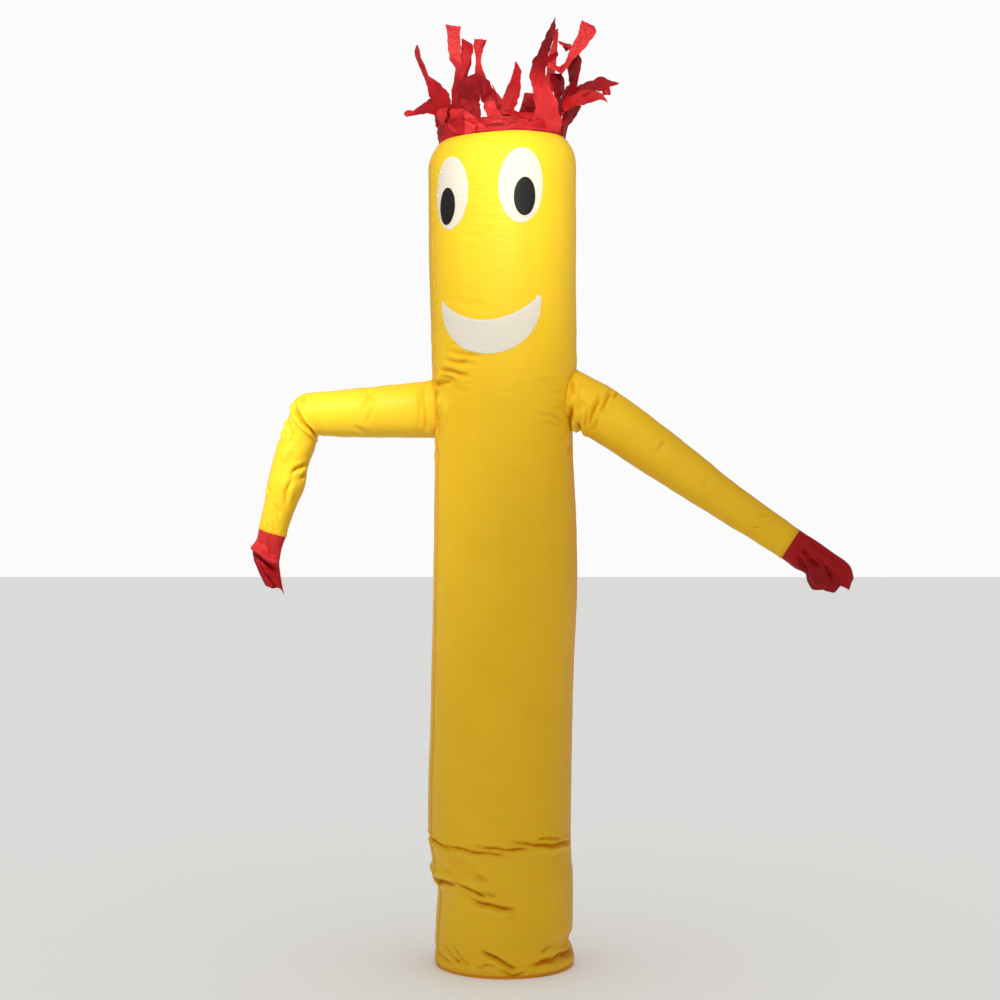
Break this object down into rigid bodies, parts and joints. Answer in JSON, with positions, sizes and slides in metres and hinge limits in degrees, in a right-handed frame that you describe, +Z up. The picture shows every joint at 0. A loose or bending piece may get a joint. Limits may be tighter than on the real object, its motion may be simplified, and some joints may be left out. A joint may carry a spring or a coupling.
{
  "type": "inflatable air dancer",
  "caption": "Blown-up nylon tube figure with two sleeve arms, a sewn-on face and a fringe of streamers, standing on its hem.",
  "frame": {"origin": "middle of the whole figure's plan box, on the surface that the hem stands on", "axes": "+Z up along the tube; -Y is the front, with the face; +X is the viewer's right, where the straight arm reaches"},
  "size_m": [1.8819, 0.469, 2.9927],
  "materials": {
    "yellow_nylon": "satin",
    "red_nylon": "satin",
    "white_nylon": "satin",
    "black_nylon": "satin"
  },
  "bodies": {
    "root": {"body_tube": "yellow_nylon", "arm_left": "yellow_nylon", "arm_right": "yellow_nylon", "hand_left": "red_nylon", "hand_right": "red_nylon", "hair_band": "red_nylon", "eye_white_left": "white_nylon", "eye_white_right": "white_nylon", "pupil_left": "black_nylon", "pupil_right": "black_nylon", "mouth_patch": "white_nylon"}
  },
  "joints": []
}
